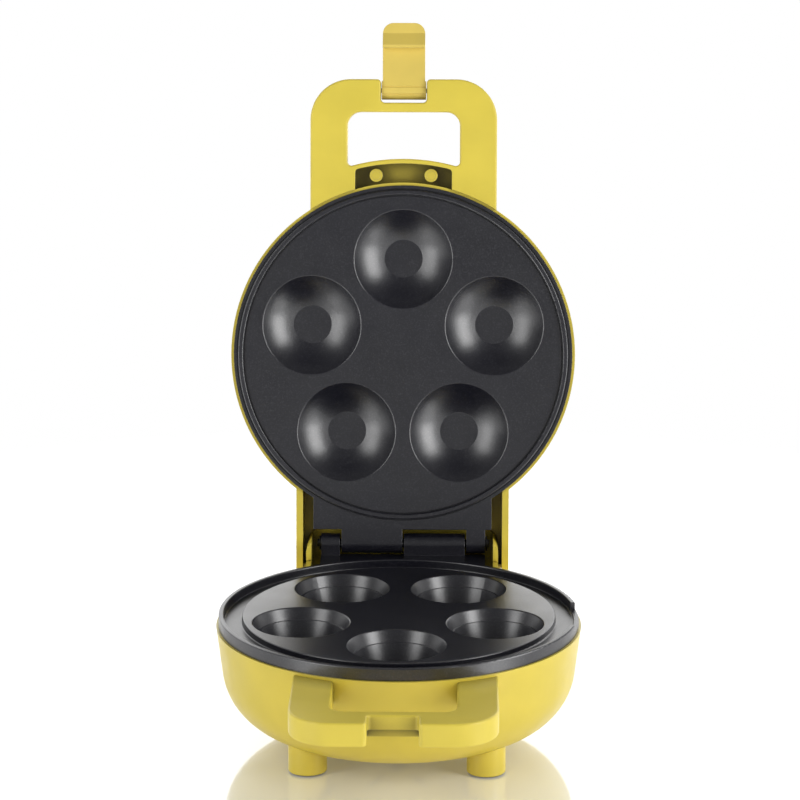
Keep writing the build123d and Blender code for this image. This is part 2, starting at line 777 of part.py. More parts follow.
# Leads of the lower part: legs to block, thermostat to block, block to hinge
lead_level = inner_floor + block_height / 2
block_front = block_y - block_depth / 2
block_back = block_y + block_depth / 2
blade_end = thermostat_top - thermostat_height - blade_length
lead_x = lead_slot_half_width - 2 * lead_radius
lead_bend = 4 * lead_radius
climb_points = [(shell_radius - inset, shell_top - drop) for inset, drop in lead_climb]
rise_points = [(shell_radius - lead_foot_inset, lead_level)] + climb_points
with BuildPart() as base_leads:
    for side in (-1, 1):
        leg = leg_place(side, -front)
        add(lead([(leg.X, leg.Y, leg_end), (leg.X, leg.Y, block_top)], lead_bend))
        switch_route = [(0, blade_end), (0, lead_level), (block_front, lead_level)]
        add(lead([(side * thermostat_x, y, z) for y, z in switch_route], lead_bend))
        lid_route = [(block_back, lead_level)] + rise_points
        add(lead([(side * lead_x, y, z) for y, z in lid_route], lead_bend))
base_leads.part.label = "base_leads"

with BuildPart() as base_thermal_fuse:
    fuse_plane = Plane.XZ.offset(-block_front / 2)
    extrude(disc(fuse_plane, fuse_radius, lead_radius + press_gap, ((thermostat_x, lead_level),)),
            amount=fuse_length / 2, both=True)
base_thermal_fuse.part.label = "base_thermal_fuse"

# Lower grip with its catch, cut to the casing
with BuildPart() as base_grip_loop:
    extrude(grip_plan(Plane.XY.offset(base_grip_bottom), catch_depth), amount=base_grip_height)
    extrude(finger_opening(Plane.XY.offset(base_grip_bottom), shell_radius / 2), amount=base_grip_height,
            mode=Mode.SUBTRACT)
    fillet(base_grip_loop.faces().sort_by(Axis.Z)[-1].edges(), grip_edge)
    fillet(base_grip_loop.faces().sort_by(Axis.Z)[0].edges(), grip_edge)

with BuildPart() as base_handle:
    add(base_grip_loop.part)
    revolve(bowl_face(Plane.XZ, shell_radius, shell_top, shell_floor, shell_corner), Axis.Z,
            mode=Mode.SUBTRACT)
    with BuildSketch(Plane.XY.offset(base_grip_top - catch_ledge)):
        with Locations((0, -grip_reach)):
            Rectangle(2 * notch_half_width, catch_depth + catch_undercut, align=(Align.CENTER, Align.MIN))
    extrude(amount=-base_grip_height, mode=Mode.SUBTRACT)
    extrude(disc(Plane.XZ, screw_radius + press_gap, places=grip_screw_places),
            amount=shell_radius + grip_screw_bite + screw_tip_gap, mode=Mode.SUBTRACT)
base_handle.part.label = "base_handle"

# Screws of the lower grip, their heads against the inside of the casing
wall_radius = shell_radius - shell_wall - (shell_top - grip_screw_z) * tan(radians(shell_draft))
grip_head_seat = sqrt(wall_radius**2 - (screw_x + screw_head_radius) ** 2) - seat_gap
with BuildPart() as base_handle_screws:
    extrude(disc(Plane.XZ.offset(grip_head_seat), screw_head_radius, places=grip_screw_places),
            amount=-screw_head_height)
    extrude(disc(Plane.XZ.offset(grip_head_seat), screw_radius, places=grip_screw_places),
            amount=shell_radius + grip_screw_bite - grip_head_seat)
base_handle_screws.part.label = "base_handle_screws"

# Cord gland in its boss
with BuildPart() as cord_gland:
    gland_inside = gland_face_y - gland_wall
    with BuildSketch(Plane.YZ) as gland_section:
        with BuildLine():
            Polyline(
                (gland_inside - gland_collar, gland_z + gland_bore),
                (gland_inside - gland_collar, gland_z + gland_body),
                (gland_inside, gland_z + gland_collar_radius),
                (gland_inside, gland_z + gland_body),
                (gland_face_y, gland_z + gland_body),
                (gland_face_y, gland_z + gland_flange_radius),
                (gland_face_y + gland_flange, gland_z + gland_flange_radius),
                (gland_face_y + gland_flange + gland_nose, gland_z + gland_nose_radius),
                (gland_face_y + gland_flange + gland_nose, gland_z + gland_bore),
                close=True,
            )
        make_face()
    revolve(axis=Axis((0, 0, gland_z), (0, 1, 0)))
cord_gland.part.label = "cord_gland"

# Feet, cut to the round of the casing, and their pads
feet = {}
foot_plane = Plane.XY.offset(pad_proud)
for side_name, side in (("left", -1), ("right", 1)):
    for end_name, (foot_x, foot_y) in (("front", front_foot), ("rear", rear_foot)):
        place = [(side * foot_x, foot_y)]
        with BuildPart() as foot:
            extrude(disc(foot_plane, foot_radius, places=place), amount=shell_corner)
            fillet(foot.edges().filter_by(GeomType.CIRCLE).sort_by(Axis.Z)[0], foot_edge)
            revolve(bowl_face(Plane.XZ, shell_radius, shell_top, shell_floor, shell_corner), Axis.Z,
                    mode=Mode.SUBTRACT)
            extrude(disc(foot_plane, foot_peg_radius, places=place), amount=foot_peg_height - pad_proud)
            extrude(disc(foot_plane, pad_radius + seat_gap, places=place), amount=pad_recess,
                    mode=Mode.SUBTRACT)
        foot.part.label = "foot_" + end_name + "_" + side_name
        feet[foot.part.label] = foot.part

with BuildPart() as foot_pads:
    extrude(disc(Plane.XY, pad_radius, places=foot_places), amount=pad_recess + pad_proud)
foot_pads.part.label = "foot_pads"

# Hinge pin and its retaining rings
pin_left = knuckle_ends[0][0] - clip_thickness - pin_overhang
pin_right = knuckle_ends[-1][1] + clip_thickness + pin_overhang
hinge_places = ((hinge_y, hinge_z),)
with BuildPart() as hinge_pin:
    extrude(disc(Plane.YZ.offset(pin_left), pin_radius, places=hinge_places), amount=pin_right - pin_left)
    chamfer(hinge_pin.edges().filter_by(GeomType.CIRCLE), pin_radius / 5)
hinge_pin.part.label = "hinge_pin"

with BuildPart() as hinge_clips:
    for clip_x in (knuckle_ends[0][0] - clip_thickness - seat_gap, knuckle_ends[-1][1] + swing_gap):
        extrude(disc(Plane.YZ.offset(clip_x), clip_radius, pin_radius + press_gap, hinge_places),
                amount=clip_thickness)
hinge_clips.part.label = "hinge_clips"

# Cover of the hinge with its two cheeks, later joined to the upper casing
with BuildPart() as hinge_cover:
    with BuildSketch(lid_side) as cover_outer:
        with Locations((hinge_y, hinge_height)):
            Circle(cover_outer_radius)
        with Locations((hinge_y, hinge_height)):
            Rectangle(hinge_y / 2, cover_outer_radius, align=(Align.MAX, Align.MIN))
            Rectangle(hinge_y / 2, hinge_height, align=(Align.MAX, Align.MAX))
        with Locations((0, lid_lip)):
            Rectangle(2 * hinge_y, hinge_y, align=(Align.MIN, Align.MAX), mode=Mode.SUBTRACT)
    extrude(amount=cover_half_width, both=True)
    extrude(slab(lid_section, cover_half_width, hinge_height + cover_outer_radius, 0, cover_round),
            amount=-2 * hinge_y, mode=Mode.INTERSECT)
    edge_y, edge_height = polar(2 * cover_outer_radius, cover_reach_angle)
    with BuildSketch(lid_side) as cover_inner:
        with Locations((hinge_y, hinge_height)):
            Circle(cover_inner_radius)
            Rectangle(hinge_y / 2, cover_inner_radius, align=(Align.MAX, Align.MIN))
        with BuildLine():
            Polyline(
                (hinge_y, hinge_height),
                (hinge_y + edge_y, hinge_height + edge_height),
                (hinge_y + edge_y, 0),
                (hinge_y / 2, 0),
                (hinge_y / 2, hinge_height),
                close=True,
            )
        make_face()
    extrude(amount=cover_opening, both=True, mode=Mode.SUBTRACT)

# Upper casing
with BuildPart() as lid_shell:
    revolve(bowl_face(lid_section, lid_radius, lid_lip, lid_height, lid_corner), lid_axis)
    extrude(front_sector(lid_face.offset(pocket_back + seat_gap), tongue_radius, pocket_half_width - seat_gap,
                         pocket_corner),
            amount=lid_grip_height - pocket_back - seat_gap)
    extrude(cover_inner.sketch, amount=cover_opening, both=True, mode=Mode.SUBTRACT)
    add(hinge_cover.part)
    inner_height = lid_height - shell_wall
    revolve(bowl_face(lid_section, lid_radius - shell_wall, lid_lip, inner_height, lid_corner - shell_wall),
            lid_axis, mode=Mode.SUBTRACT)
    extrude(disc(lid_face.offset(recess_floor), cap_radius + cap_pad), amount=-cap_pad)
    extrude(disc(lid_face.offset(recess_floor), cap_radius), amount=2 * cap_recess, mode=Mode.SUBTRACT)
    extrude(disc(lid_face.offset(lid_shield_back), tower_radius, places=post_places()),
            amount=recess_floor - lid_shield_back)
    extrude(disc(lid_face.offset(lid_head_seat), counterbore_radius, places=post_places()),
            amount=lid_height - lid_head_seat, mode=Mode.SUBTRACT)
    extrude(disc(lid_face.offset(lid_shield_back), screw_radius + seat_gap, places=post_places()),
            amount=lid_height - lid_shield_back, mode=Mode.SUBTRACT)
    extrude(disc(lid_face.offset(pocket_back), tongue_screw_radius + press_gap, places=tongue_screw_places),
            amount=lid_grip_height - pocket_back - tongue_screw_tip / 2, mode=Mode.SUBTRACT)
lid_shell.part.label = "lid_shell"

# Upper plate: flange and knuckles first, then the round casting over them
with BuildPart() as lid_plate:
    with BuildSketch(lid_face) as flange:
        Rectangle(2 * flange_half_width, flange_reach, align=(Align.CENTER, Align.MIN))
    extrude(amount=flange_thickness)
    for knuckle_from, knuckle_to in lid_knuckles:
        with BuildSketch(lid_side.offset(knuckle_from)) as web:
            with Locations((hinge_y, hinge_height)):
                Circle(barrel_radius)
            with BuildLine():
                Polyline(
                    (lid_plate_radius / 2, 0),
                    (flange_reach, 0),
                    (hinge_y, hinge_height - barrel_radius),
                    (hinge_y, hinge_height + barrel_radius),
                    (flange_reach - flange_thickness, flange_thickness),
                    (lid_plate_radius / 2, flange_thickness),
                    close=True,
                )
            make_face()
        extrude(amount=knuckle_to - knuckle_from)
    extrude(disc(lid_face, lid_plate_radius - 1), amount=flange_thickness, mode=Mode.SUBTRACT)
    lid_locating = lid_radius - shell_wall - swing_gap
    with BuildSketch(lid_section) as lid_plate_section:
        with BuildLine():
            Polyline(
                (0, 0),
                (ring_inner - ring_groove, 0),
                (ring_inner - ring_groove, ring_groove_depth),
                (ring_inner, ring_groove_depth),
                (ring_inner, -ring_height),
                (ring_outer, -ring_height),
                (ring_outer, ring_groove_depth),
                (ring_outer + ring_groove, ring_groove_depth),
                (ring_outer + ring_groove, 0),
                (lid_plate_radius, 0),
                (lid_plate_radius, lid_lip),
                (lid_locating, lid_lip),
                (lid_locating, lid_lip + plate_thickness),
                (ring_inner, lid_lip + plate_thickness),
                (ring_inner, lid_plate_thickness),
                (0, lid_plate_thickness),
                close=True,
            )
        make_face()
        fillet(lid_plate_section.vertices().group_by(Axis.Y)[0], mouth_round)
    revolve(axis=lid_axis)
    lid_cup_origin = lid_face.from_local_coords((0, -cup_pitch_radius, 0))
    lid_cup_section = Plane(lid_cup_origin, x_dir=lid_face.x_dir, z_dir=-lid_face.y_dir)
    lid_cup_axis = Axis(lid_cup_origin, lid_face.z_dir)
    dome_body = revolve(dome_face(lid_cup_section, cup_wall), lid_cup_axis, mode=Mode.PRIVATE)
    dome_hollow = revolve(dome_face(lid_cup_section, 0), lid_cup_axis, mode=Mode.PRIVATE)
    for cup_index in range(cup_count):
        add(dome_body.rotate(lid_axis, cup_index * cup_step))
    for cup_index in range(cup_count):
        add(dome_hollow.rotate(lid_axis, cup_index * cup_step), mode=Mode.SUBTRACT)
    dome_mouths = lid_plate.edges().filter_by(GeomType.CIRCLE).filter_by(
        lambda edge: abs(edge.radius - dome_mouth) < 0.01
        and abs(lid_face.to_local_coords(edge.center()).Z) < 0.01)
    fillet(dome_mouths, mouth_round)
    extrude(disc(lid_face.offset(lid_plate_thickness - seat_gap), post_radius, places=post_places()),
            amount=lid_shield_low - lid_plate_thickness + seat_gap)
    extrude(disc(lid_face.offset(lid_shield_low), screw_radius + press_gap, places=post_places()),
            amount=-screw_bite - screw_tip_gap, mode=Mode.SUBTRACT)
    with BuildSketch(lid_side) as lid_bore:
        with Locations((hinge_y, hinge_height)):
            Circle(pin_radius + running_gap)
    extrude(amount=plate_radius, both=True, mode=Mode.SUBTRACT)
lid_plate.part.label = "lid_plate"

with BuildPart() as lid_plate_screws:
    extrude(disc(lid_face.offset(lid_head_seat), screw_head_radius, places=post_places()),
            amount=screw_head_height)
    extrude(disc(lid_face.offset(lid_head_seat), screw_radius, places=post_places()),
            amount=lid_shield_low - screw_bite - lid_head_seat)
lid_plate_screws.part.label = "lid_plate_screws"

with BuildPart() as lid_cap:
    extrude(disc(lid_face.offset(recess_floor), cap_radius - seat_gap), amount=cap_thickness)
    fillet(lid_cap.edges().filter_by(GeomType.CIRCLE).sort_by(lid_axis)[-1], cap_round)
lid_cap.part.label = "lid_cap"

# Heating parts above the upper plate
lid_tube_plane = lid_face.offset(lid_tube_level)
with BuildPart() as lid_heater:
    add(heater(lid_tube_plane, -front))
lid_heater.part.label = "lid_heater"

with BuildPart() as lid_heater_sleeves:
    extrude(leg_rings(lid_tube_plane.offset(sleeve_start), -front, sleeve_radius, tube_radius + press_gap),
            amount=sleeve_length)
lid_heater_sleeves.part.label = "lid_heater_sleeves"

with BuildPart() as lid_heater_straps:
    add(straps(lid_face, lid_cup_bottom, front))
lid_heater_straps.part.label = "lid_heater_straps"

with BuildPart() as lid_heat_shield:
    add(shield(lid_face.offset(lid_shield_low), -front, 0))
lid_heat_shield.part.label = "lid_heat_shield"

# Leads of the lid, from the legs of the tube over the shield into the hinge cover
lid_leg_end = lid_tube_level + tube_elbow + tube_leg
lid_lead_bend = 2 * lead_radius
lid_lead_points = [(lid_radius - inset, lid_height - drop) for inset, drop in lid_lead_climb]
lid_lead_points += [(lid_radius - inset, hinge_height + rise) for inset, rise in lid_lead_end]
with BuildPart() as lid_leads:
    for side in (-1, 1):
        leg = leg_place(side, -front)
        route = [(leg.Y, lid_leg_end), (leg.Y, lid_height - lid_lead_drop)] + lid_lead_points
        add(lead([lid_face.from_local_coords((leg.X, y, height)) for y, height in route], lid_lead_bend))
lid_leads.part.label = "lid_leads"

# Upper grip with the latch notch and the screw pocket, cut to the dome
with BuildPart() as lid_grip_loop:
    extrude(grip_plan(lid_face, notch_depth), amount=lid_grip_height)
    extrude(finger_opening(lid_face, bridge_outer), amount=lid_grip_height, mode=Mode.SUBTRACT)
    fillet(lid_grip_loop.faces().sort_by(lid_axis)[-1].edges(), grip_edge)
    fillet(lid_grip_loop.faces().sort_by(lid_axis)[0].edges(), grip_edge)

with BuildPart() as lid_handle:
    add(lid_grip_loop.part)
    revolve(bowl_face(lid_section, lid_radius, lid_lip, lid_height, lid_corner), lid_axis, mode=Mode.SUBTRACT)
    extrude(disc(lid_face, lid_radius), amount=lid_lip, mode=Mode.SUBTRACT)
    extrude(front_sector(lid_face, pocket_radius, pocket_half_width, pocket_corner), amount=pocket_depth,
            mode=Mode.SUBTRACT)
    extrude(front_sector(lid_face.offset(pocket_back), pocket_radius, pocket_half_width, pocket_corner),
            amount=lid_grip_height, mode=Mode.SUBTRACT)
    extrude(disc(lid_face.offset(pocket_depth), plug_radius + plug_boss_wall, places=tongue_screw_places),
            amount=-plug_boss_height)
    extrude(disc(lid_face.offset(pocket_depth), plug_radius + press_gap, places=tongue_screw_places),
            amount=-plug_boss_height, mode=Mode.SUBTRACT)
    extrude(disc(lid_face.offset(pocket_depth), tongue_screw_radius + seat_gap, places=tongue_screw_places),
            amount=pocket_floor, mode=Mode.SUBTRACT)
    with BuildSketch(lid_side) as latch_bore:
        with Locations((latch_pivot_y, latch_pivot_height)):
            Circle(latch_pin_radius + press_gap)
    extrude(amount=notch_half_width + latch_pin_bite, both=True, mode=Mode.SUBTRACT)
lid_handle.part.label = "lid_handle"

with BuildPart() as lid_handle_screws:
    extrude(disc(lid_face.offset(pocket_depth), plug_radius, places=tongue_screw_places),
            amount=plug_thickness + seat_gap - plug_boss_height)
    extrude(disc(lid_face.offset(pocket_depth), tongue_screw_radius, places=tongue_screw_places),
            amount=lid_grip_height - pocket_depth - tongue_screw_tip)
lid_handle_screws.part.label = "lid_handle_screws"

with BuildPart() as lid_handle_plugs:
    extrude(disc(lid_face.offset(pocket_depth - plug_boss_height), plug_radius, places=tongue_screw_places),
            amount=plug_thickness)
lid_handle_plugs.part.label = "lid_handle_plugs"

with BuildPart() as latch_pin:
    extrude(disc(lid_side, latch_pin_radius, places=((latch_pivot_y, latch_pivot_height),)),
            amount=notch_half_width + latch_pin_bite - seat_gap, both=True)
latch_pin.part.label = "latch_pin"

# Latch, standing out in line with the grip
with BuildPart() as latch:
    inner_face = latch_pivot_height - latch_barrel
    outer_face = inner_face + latch_thickness
    with BuildSketch(lid_side) as latch_section:
        with BuildLine():
            Polyline(
                (latch_pivot_y, inner_face),
                (latch_pivot_y - latch_hook, inner_face),
                (latch_pivot_y - latch_hook, inner_face - latch_hook_reach),
                (latch_pivot_y - latch_hook - latch_hook_flat, inner_face - latch_hook_reach),
                (latch_pivot_y - latch_hook - latch_hook_length, inner_face),
                (latch_pivot_y - latch_length, inner_face),
                (latch_pivot_y - latch_length, outer_face),
                (latch_pivot_y, outer_face),
                close=True,
            )
        make_face()
        with Locations((latch_pivot_y, latch_pivot_height)):
            Circle(latch_barrel)
            Circle(latch_pin_radius + running_gap, mode=Mode.SUBTRACT)
        groove_height = latch_pivot_height - sqrt(latch_barrel**2 - latch_groove_offset**2)
        with Locations((latch_pivot_y - latch_groove_offset, inner_face),
                       (latch_pivot_y + latch_groove_offset, groove_height)):
            Circle(latch_groove, mode=Mode.SUBTRACT)
    latch_barrel_half_width = notch_half_width - latch_side_gap
    extrude(amount=latch_barrel_half_width, both=True)
    with BuildSketch(lid_face.offset(latch_pivot_height)) as latch_plan:
        with Locations((0, latch_pivot_y - latch_length)):
            Rectangle(2 * latch_half_width, latch_length, align=(Align.CENTER, Align.MIN))
        fillet(latch_plan.vertices().group_by(Axis.Y)[0], latch_corner)
        with Locations((0, latch_pivot_y)):
            Rectangle(2 * latch_barrel_half_width, 2 * latch_barrel)
    extrude(amount=4 * latch_barrel, both=True, mode=Mode.INTERSECT)
latch.part.label = "latch"

pieces = [
    base_shell, base_plate, base_plate_screws, base_heater, base_heater_sleeves, base_heater_straps,
    base_heat_shield, base_thermostat, base_thermal_fuse, base_terminal_block, base_leads, base_handle,
    base_handle_screws, cord_gland, foot_pads, hinge_pin, hinge_clips, lid_shell, lid_plate, lid_plate_screws,
    lid_cap, lid_heater, lid_heater_sleeves, lid_heater_straps, lid_heat_shield, lid_leads, lid_handle,
    lid_handle_screws, lid_handle_plugs, latch_pin, latch,
]

os.makedirs("parts", exist_ok=True)
for piece in pieces:
    export_step(piece.part, "parts/" + piece.part.label + ".step")
for name, foot_part in feet.items():
    export_step(foot_part, "parts/" + name + ".step")
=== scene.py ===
import bpy
import json
from math import radians
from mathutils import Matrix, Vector

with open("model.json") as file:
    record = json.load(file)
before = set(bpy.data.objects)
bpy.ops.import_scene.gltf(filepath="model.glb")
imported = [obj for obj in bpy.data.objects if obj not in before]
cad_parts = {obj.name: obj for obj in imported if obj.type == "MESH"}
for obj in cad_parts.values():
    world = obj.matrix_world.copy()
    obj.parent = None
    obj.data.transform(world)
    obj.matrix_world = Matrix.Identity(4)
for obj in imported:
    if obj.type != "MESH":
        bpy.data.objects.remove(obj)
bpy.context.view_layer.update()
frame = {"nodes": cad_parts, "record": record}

# Camera, fitted to the photograph: metres, degrees from level and from straight ahead, millimetres
camera_place = (0.02869, -1.44885, 0.53128)
camera_pitch = -14.01
camera_yaw = 1.11
camera_lens = 141.7
camera_sensor = 36.0

# Colours, linear
white = (1.0, 1.0, 1.0)
yellow = (0.76, 0.605, 0.078)
yellow_grip = (0.81, 0.65, 0.082)
yellow_latch = (0.82, 0.625, 0.13)
coating = (0.0025, 0.0025, 0.0075)
coating_dots = (0.06, 0.06, 0.07)
# Pale edges of the coating: wear, and painted highlight along its rims and cup mouths
coating_wear_and_highlight = (0.15, 0.15, 0.155)
plated = (0.56, 0.56, 0.55)
blackened = (0.03, 0.03, 0.03)
aluminium = (0.74, 0.74, 0.73)
heater_sheath = (0.10, 0.095, 0.09)
ceramic = (0.78, 0.76, 0.71)
dark_plastic = (0.022, 0.022, 0.023)
pale_plastic = (0.70, 0.69, 0.65)
glass_fibre = (0.60, 0.58, 0.50)
rubber = (0.035, 0.034, 0.033)
floor_colour = (0.93, 0.93, 0.93)

# Noises of the finishes: scales in cells per metre, detail, and the part of a noise's range that shows
tint_range = (0.3, 0.7)
dots_scale = 1300.0
dots_detail = 2.0
dots_range = (0.5, 0.75)
dots_strength = 0.45
patch_scale = 160.0
patch_range = (0.35, 0.65)
gloss_scale = 75.0
gloss_detail = 6.0
gloss_range = (0.3, 0.7)
grain_detail = 3.0
grain_roughness = 0.6

# Painted recess shade: the colour is darkened where shade falls in corners, creases and recesses. How far off
# their walls are looked for, in metres, and how dark the painted shade gets. The full strength comes where
# the open share is the finish's recess divided by recess_spread
recess_reach = 0.014
recess_samples = 8
recess_spread = 3
painted_shade_strength = 0.9
painted_shade_dark = 0.08

# Edges: their radius in metres, the cosine of the lean at which wear starts and is full, and how much
# paler than its surroundings a worn edge is. On the coating the pale edges are wear and painted highlight
edge_radius = 0.00035
edge_samples = 4
edge_lean = (0.995, 0.93)
edge_pale = 0.35

coat_roughness = 0.1

# Lamps: place, width and height in metres, power in watts
lamp_target = (0.0, 0.05, 0.15)
lamps = {
    "light_left": ((-1.05, -0.80, 0.45), 0.6, 1.2, 8.0),
    "light_right": ((1.17, -0.62, 0.45), 0.6, 1.2, 12.8),
    "light_back": ((0.15, 1.35, 0.55), 2.4, 1.2, 10.0),
}

# Surroundings, by the y or z of a direction: each range of it, then what it is mapped to
behind_y = (-0.1, 0.4)
wall_z, wall_white = (0.25, 0.7), (1.0, 0.6)
table_z, table_white = (-0.08, 0.0), (1.0, 0.0)
overhead_z, overhead_dim = (0.5, 0.95), (1.0, 0.4)
studio_strength = (0.2, 0.7)

# Floor: half its side and the distances from the middle at which it glows and fades, in metres
floor_half = 3.0
floor_roughness = 0.07
floor_metallic = 0.12
floor_ior = 2.3
glow_distance, glow_strength = (0.05, 0.34), (0.07, 0.42)
fade_distance = (0.22, 0.6)


def opaque(colour):
    """A colour with its alpha, as sockets take it."""
    return (*colour, 1.0)


def set_inputs(node, values):
    """Plain values on a node's sockets."""
    for socket, value in values.items():
        node.inputs[socket].default_value = value


def new_material(name):
    """A material and its shader."""
    made = bpy.data.materials.new(name)
    made.use_nodes = True
    nodes = made.node_tree.nodes
    nodes.clear()
    shader = nodes.new("ShaderNodeBsdfPrincipled")
    output = nodes.new("ShaderNodeOutputMaterial")
    made.node_tree.links.new(shader.outputs["BSDF"], output.inputs["Surface"])
    return made, shader


def noise(tree, place, scale, detail=4.0, roughness=0.5):
    """Noise over the object, scale in cells per metre."""
    made = tree.nodes.new("ShaderNodeTexNoise")
    set_inputs(made, {"Scale": scale, "Detail": detail, "Roughness": roughness})
    tree.links.new(place, made.inputs["Vector"])
    return made.outputs["Fac"]


def ranged(tree, value, source, target=(0.0, 1.0)):
    """A value mapped from one range to another."""
    made = tree.nodes.new("ShaderNodeMapRange")
    set_inputs(made, {"From Min": source[0], "From Max": source[1], "To Min": target[0], "To Max": target[1]})
    tree.links.new(value, made.inputs["Value"])
    return made.outputs["Result"]


def mixed(tree, factor, first, second):
    """A colour between two colours or sockets."""
    made = tree.nodes.new("ShaderNodeMix")
    made.data_type = "RGBA"
    tree.links.new(factor, made.inputs["Factor"])
    for socket, colour in ((made.inputs["A"], first), (made.inputs["B"], second)):
        if isinstance(colour, tuple):
            socket.default_value = opaque(colour)
        else:
            tree.links.new(colour, socket)
    return made.outputs["Result"]


def combined(tree, operation, first, second):
    """Two values joined into their product or the larger of the two."""
    made = tree.nodes.new("ShaderNodeMath")
    made.operation = operation
    tree.links.new(first, made.inputs[0])
    tree.links.new(second, made.inputs[1])
    return made.outputs["Value"]


def blended(tree, factor, first, second):
    """A shader between two shaders."""
    made = tree.nodes.new("ShaderNodeMixShader")
    tree.links.new(factor, made.inputs["Fac"])
    tree.links.new(first, made.inputs[1])
    tree.links.new(second, made.inputs[2])
    return made.outputs["Shader"]


def edge_mask(tree, rounded):
    """Near 1 on sharp edges: how far the rounded normal leans from the surface's own."""
    surface = tree.nodes.new("ShaderNodeNewGeometry")
    lean = tree.nodes.new("ShaderNodeVectorMath")
    lean.operation = "DOT_PRODUCT"
    tree.links.new(rounded, lean.inputs[0])
    tree.links.new(surface.outputs["Normal"], lean.inputs[1])
    return ranged(tree, lean.outputs["Value"], edge_lean)


def with_painted_recess_shade(tree, surface_colour, colour, recess):
    """The surface's colour with painted shade: darker where less than the share recess of its surroundings is
    open.
    """
    hollow = tree.nodes.new("ShaderNodeAmbientOcclusion")
    hollow.samples = recess_samples
    hollow.inputs["Distance"].default_value = recess_reach
    painted_shade = ranged(tree, hollow.outputs["AO"], (recess / recess_spread, recess), (painted_shade_strength, 0.0))
    return mixed(tree, painted_shade, surface_colour, tuple(channel * painted_shade_dark for channel in colour))


def finish(name, colour, roughness, metallic=0.0, tint=0.06, tint_scale=30.0, grain=900.0,
           grain_depth=0.00001, rough_spread=0.05, wear_and_highlight=0.25, worn_and_highlight=None, ior=1.5, coat=0.0, sheen=0.0,
           stretch=None, recess=0.0, dots=None):
    """A finish with drifting colour, uneven gloss, a fine grain and softened, slightly worn edges, which on
    the coating also carry a painted highlight.

    tint is the share by which the colour drifts, grain is in cells per metre and grain_depth in metres,
    stretch squeezes the noises along an axis, recess sets the painted recess shade of
    with_painted_recess_shade, and dots are pale speckles."""
    made, shader = new_material(name)
    tree = made.node_tree
    place = tree.nodes.new("ShaderNodeTexCoord").outputs["Object"]
    if stretch:
        mapping = tree.nodes.new("ShaderNodeMapping")
        mapping.inputs["Scale"].default_value = stretch
        tree.links.new(place, mapping.inputs["Vector"])
        place = mapping.outputs["Vector"]

    darker = tuple(channel * (1 - tint) for channel in colour)
    lighter = tuple(min(1.0, channel * (1 + tint)) for channel in colour)
    drift = ranged(tree, noise(tree, place, tint_scale), tint_range)
    surface_colour = mixed(tree, drift, darker, lighter)
    # painted shade in corners, creases and recesses
    if recess:
        surface_colour = with_painted_recess_shade(tree, surface_colour, colour, recess)
    if dots:
        speckle = noise(tree, place, dots_scale, detail=dots_detail)
        speckle = ranged(tree, speckle, dots_range, (0.0, dots_strength))
        surface_colour = mixed(tree, speckle, surface_colour, dots)

    bevel = tree.nodes.new("ShaderNodeBevel")
    bevel.samples = edge_samples
    bevel.inputs["Radius"].default_value = edge_radius
    mask = edge_mask(tree, bevel.outputs["Normal"])
    # Pale edges: wear, and on the coating also painted highlight
    patchy = ranged(tree, noise(tree, place, patch_scale), patch_range, (0.0, wear_and_highlight))
    if worn_and_highlight is None:
        worn_and_highlight = tuple(channel + (1 - channel) * edge_pale for channel in colour)
    surface_colour = mixed(tree, combined(tree, "MULTIPLY", mask, patchy), surface_colour, worn_and_highlight)
    tree.links.new(surface_colour, shader.inputs["Base Color"])

    uneven = noise(tree, place, gloss_scale, detail=gloss_detail)
    gloss = ranged(tree, uneven, gloss_range, (roughness - rough_spread, roughness + rough_spread))
    tree.links.new(gloss, shader.inputs["Roughness"])

    bump = tree.nodes.new("ShaderNodeBump")
    set_inputs(bump, {"Strength": 1.0, "Distance": grain_depth})
    fine = noise(tree, place, grain, detail=grain_detail, roughness=grain_roughness)
    tree.links.new(fine, bump.inputs["Height"])
    tree.links.new(bevel.outputs["Normal"], bump.inputs["Normal"])
    tree.links.new(bump.outputs["Normal"], shader.inputs["Normal"])

    set_inputs(shader, {"Metallic": metallic, "IOR": ior, "Coat Weight": coat,
                        "Coat Roughness": coat_roughness, "Sheen Weight": sheen})
    return made


def softbox(name, place, width, height, power):
    """A large rectangular light aimed at the object."""
    data = bpy.data.lights.new(name, "AREA")
    data.shape = "RECTANGLE"
    data.size = width
    data.size_y = height
    data.energy = power
    light = bpy.data.objects.new(name, data)
    light.location = place
    aim = Vector(lamp_target) - Vector(place)
    light.rotation_euler = aim.to_track_quat("-Z", "Y").to_euler()
    light.visible_camera = False
    bpy.context.scene.collection.objects.link(light)


def background(tree):
    """A white background shader, at strength 1."""
    made = tree.nodes.new("ShaderNodeBackground")
    set_inputs(made, {"Color": opaque(white), "Strength": 1.0})
    return made


